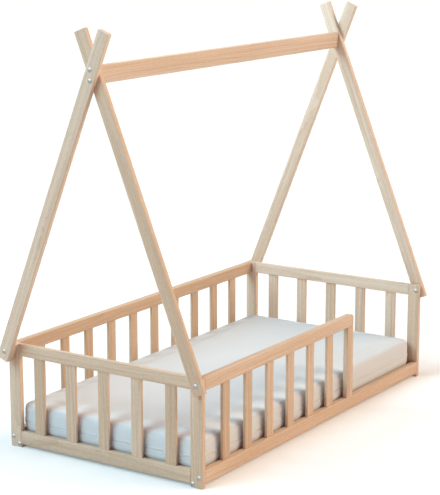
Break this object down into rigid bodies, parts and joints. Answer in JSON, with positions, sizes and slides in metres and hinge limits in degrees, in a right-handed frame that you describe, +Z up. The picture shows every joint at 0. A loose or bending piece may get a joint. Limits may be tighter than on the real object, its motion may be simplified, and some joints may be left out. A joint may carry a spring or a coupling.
{
  "type": "teepee bed",
  "caption": "Low child's bed in wood with slatted sides, a part-length guard, crossed poles at both ends joined by a ridge beam, and a mattress that lifts out.",
  "frame": {"origin": "the middle of the bed's footprint, on the floor", "axes": "+X along the bed to the end beside the entrance, +Y to the back panel, so the open front faces -Y, and +Z up"},
  "size_m": [1.5308, 0.7914, 1.3773],
  "materials": {
    "beech": "clear matt oil on solid beech",
    "base_wood": "planed, untreated",
    "dowel_wood": "beech, untreated",
    "mattress_cover": "plain knitted cover, matt",
    "steel": "bright zinc",
    "insert_brass": "plain"
  },
  "bodies": {
    "bed": {"left_front_post": "beech", "left_back_post": "beech", "right_front_post": "beech", "right_back_post": "beech", "left_top_rail": "beech", "left_bottom_rail": "beech", "right_top_rail": "beech", "right_bottom_rail": "beech", "left_slat_1": "beech", "left_slat_2": "beech", "left_slat_3": "beech", "left_slat_4": "beech", "left_slat_5": "beech", "right_slat_1": "beech", "right_slat_2": "beech", "right_slat_3": "beech", "right_slat_4": "beech", "right_slat_5": "beech", "back_top_rail": "beech", "back_bottom_rail": "beech", "back_slat_1": "beech", "back_slat_2": "beech", "back_slat_3": "beech", "back_slat_4": "beech", "back_slat_5": "beech", "back_slat_6": "beech", "back_slat_7": "beech", "back_slat_8": "beech", "back_slat_9": "beech", "back_slat_10": "beech", "front_bottom_rail": "beech", "guard_rail": "beech", "guard_slat_1": "beech", "guard_slat_2": "beech", "guard_slat_3": "beech", "guard_slat_4": "beech", "guard_slat_5": "beech", "guard_slat_6": "beech", "guard_post": "beech", "left_front_pole": "beech", "left_back_pole": "beech", "right_front_pole": "beech", "right_back_pole": "beech", "left_spacer": "beech", "right_spacer": "beech", "ridge_beam": "beech", "front_batten": "base_wood", "back_batten": "base_wood", "base_slats": "base_wood", "foot_bolts": "steel", "ridge_bolts": "steel", "back_pole_bolts": "steel", "guard_bolt": "steel", "entrance_bolt": "steel", "cap_nut": "steel", "threaded_inserts": "insert_brass", "dowels": "dowel_wood", "slat_screws": "steel"},
    "mattress": {"mattress": "mattress_cover"}
  },
  "joints": [
    {"name": "mattress_lift", "type": "slide", "parent": "bed", "child": "mattress", "axis": [0, 0, 1], "range_m": [0, 0.4]}
  ]
}
